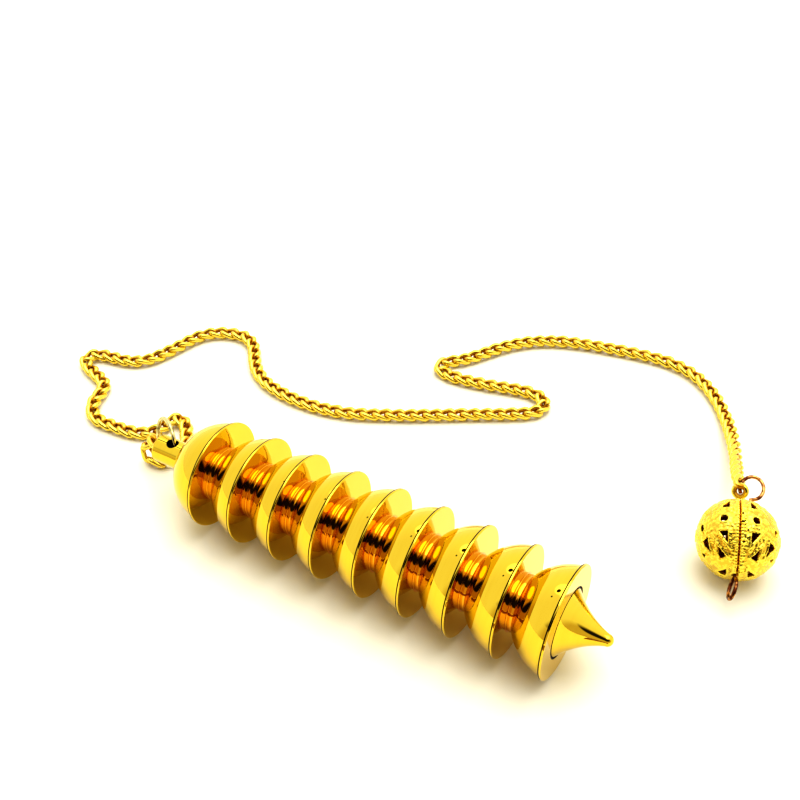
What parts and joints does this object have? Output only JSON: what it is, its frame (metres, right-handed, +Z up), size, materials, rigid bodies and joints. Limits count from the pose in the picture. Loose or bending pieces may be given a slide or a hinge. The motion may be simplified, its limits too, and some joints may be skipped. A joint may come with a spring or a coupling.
{
  "type": "dowsing pendulum pendant with chain and ball",
  "caption": "Turned metal pendulum of stacked domed discs with a pointed tip, jump ring, fine curb chain and pierced ball, lying on a surface.",
  "frame": {"origin": "bottom centre of the bounding box of the pendulum and its laid-out chain, on the table", "axes": "+X along the pendulum's axis toward its point, +Z up from the table, +Y toward the chain's far loop"},
  "size_m": [0.111, 0.071, 0.0149],
  "materials": {
    "polished_gold": "mirror-polished gold plate",
    "brassy_wire": "drawn wire, pale brassy gold",
    "chain_gold": "bright gold-plated links",
    "ball_gold": "stamped and granulated gold plate",
    "copper_wire": "dark copper-coloured wire"
  },
  "bodies": {
    "root": {"pendulum_body": "polished_gold", "cap_ring": "brassy_wire", "chain": "chain_gold", "filigree_ball": "ball_gold", "ball_pin": "copper_wire"}
  },
  "joints": []
}
